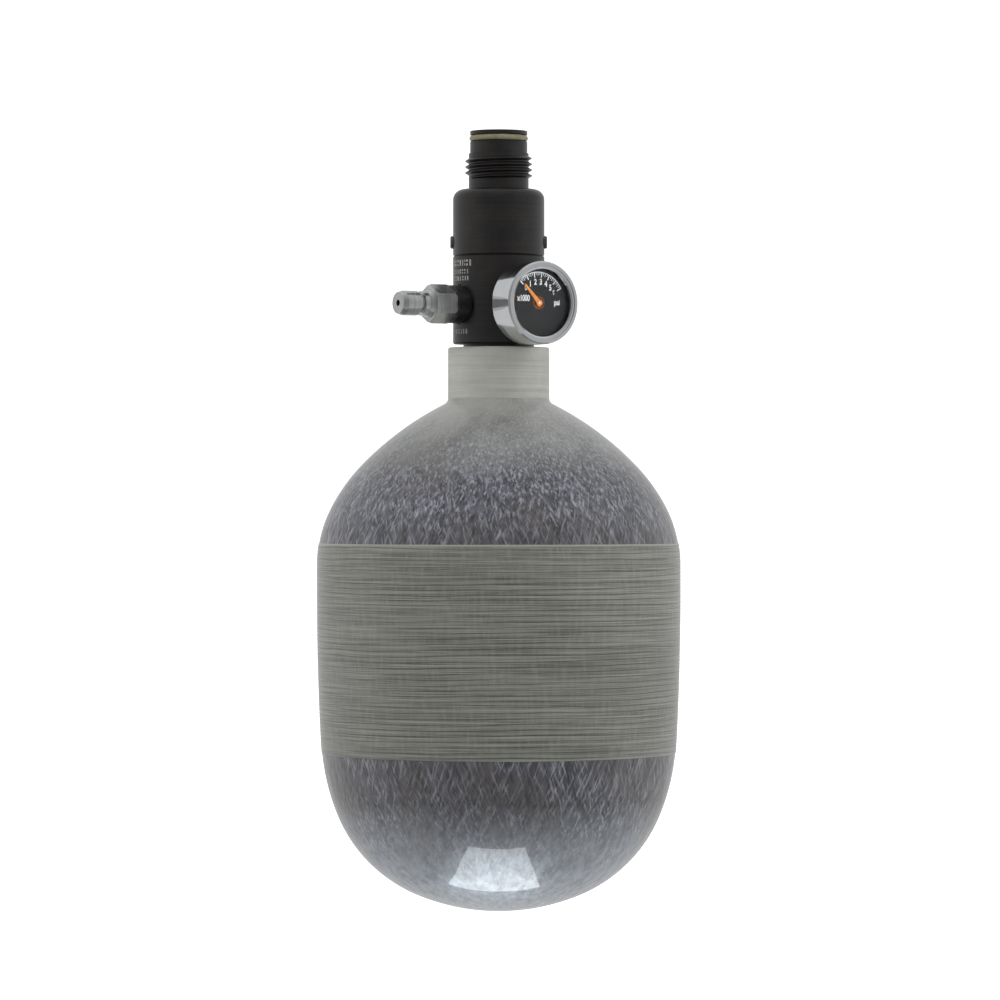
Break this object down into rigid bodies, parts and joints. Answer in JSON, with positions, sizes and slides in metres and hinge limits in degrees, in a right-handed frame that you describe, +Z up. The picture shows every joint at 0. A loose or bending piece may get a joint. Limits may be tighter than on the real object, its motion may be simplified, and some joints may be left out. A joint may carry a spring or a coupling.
{
  "type": "high-pressure air cylinder with regulator",
  "caption": "Squat composite-wrapped air cylinder with a black pin-valve regulator, a round pressure gauge and a quick-release fill nipple.",
  "frame": {"origin": "centre of the outlet's top face", "axes": "+Z up the cylinder's axis and out of the outlet, -Y out of the gauge's face, -X along the fill nipple"},
  "size_m": [0.1136, 0.1136, 0.2435],
  "materials": {
    "liner_aluminium": "satin brushed",
    "carbon_composite": "glossy clear resin over wound tow",
    "hoop_composite": "resin-coated hoop winding",
    "black_anodised": "satin black anodised",
    "grub_steel": "black oxide",
    "outlet_urethane": "translucent tan",
    "black_rubber": "matte",
    "brass": "machined",
    "stainless": "machined",
    "spring_steel": "wire",
    "seal_plastic": "smooth",
    "sintered_bronze": "porous",
    "black_spacer": "satin",
    "plated_gauge": "bright",
    "gauge_glass": "clear",
    "dial_black": "printed",
    "pointer_orange": "painted",
    "bourdon_bronze": "drawn",
    "plug_steel": "plated",
    "disc_copper": "foil"
  },
  "bodies": {
    "cylinder": {"liner": "liner_aluminium", "carbon_overwrap": "carbon_composite", "hoop_wrap": "hoop_composite", "regulator_body": "black_anodised", "bonnet": "black_anodised", "outlet_thread": "black_anodised", "bonnet_grub_screw_1": "grub_steel", "bonnet_grub_screw_2": "grub_steel", "outlet_oring": "outlet_urethane", "neck_oring": "black_rubber", "stem_oring": "black_rubber", "nipple_seal": "black_rubber", "gauge_gasket": "black_rubber", "pin_housing": "brass", "stem_guide": "brass", "pointer_bush": "brass", "gauge_socket": "brass", "bourdon_post": "brass", "fill_nipple": "stainless", "check_retainer": "stainless", "pin_spring": "spring_steel", "check_spring": "spring_steel", "spring_washer_1": "spring_steel", "spring_washer_2": "spring_steel", "spring_washer_3": "spring_steel", "spring_washer_4": "spring_steel", "filter_clip": "spring_steel", "valve_seat": "seal_plastic", "inlet_filter": "sintered_bronze", "nipple_spacer": "black_spacer", "gauge_case": "plated_gauge", "gauge_bezel": "plated_gauge", "gauge_lens": "gauge_glass", "gauge_dial": "dial_black", "bourdon_tube": "bourdon_bronze", "high_burst_plug": "plug_steel", "low_burst_plug": "plug_steel", "high_burst_disc": "disc_copper", "low_burst_disc": "disc_copper"},
    "pin": {"valve_pin": "stainless", "pin_seal": "seal_plastic"},
    "regulating_piston": {"piston": "brass", "piston_oring": "black_rubber"},
    "fill_check": {"check_poppet": "stainless", "check_seal": "seal_plastic"},
    "pointer": {"gauge_pointer": "pointer_orange", "pointer_spindle": "stainless"}
  },
  "joints": [
    {"name": "pin_press", "type": "slide", "parent": "cylinder", "child": "pin", "axis": [0, 0, -1], "range_m": [0, 0.0024], "stiffness_N_per_m": 900, "springref_m": -0.001, "deforming": ["pin_spring"]},
    {"name": "piston_travel", "type": "slide", "parent": "cylinder", "child": "regulating_piston", "axis": [0, 0, -1], "range_m": [0, 0.0008], "stiffness_N_per_m": 20000, "springref_m": -0.0002, "deforming": ["spring_washer_1", "spring_washer_2", "spring_washer_3", "spring_washer_4"]},
    {"name": "check_open", "type": "slide", "parent": "cylinder", "child": "fill_check", "axis": [1, 0, 0], "range_m": [0, 0.0015], "stiffness_N_per_m": 300, "springref_m": -0.001, "deforming": ["check_spring"]},
    {"name": "pointer_sweep", "type": "hinge", "parent": "cylinder", "child": "pointer", "pos_m": [0, -0.022, -0.0544], "axis": [0, 1, 0], "range_deg": [0, 105], "stiffness_Nm_per_rad": 0.0002}
  ]
}
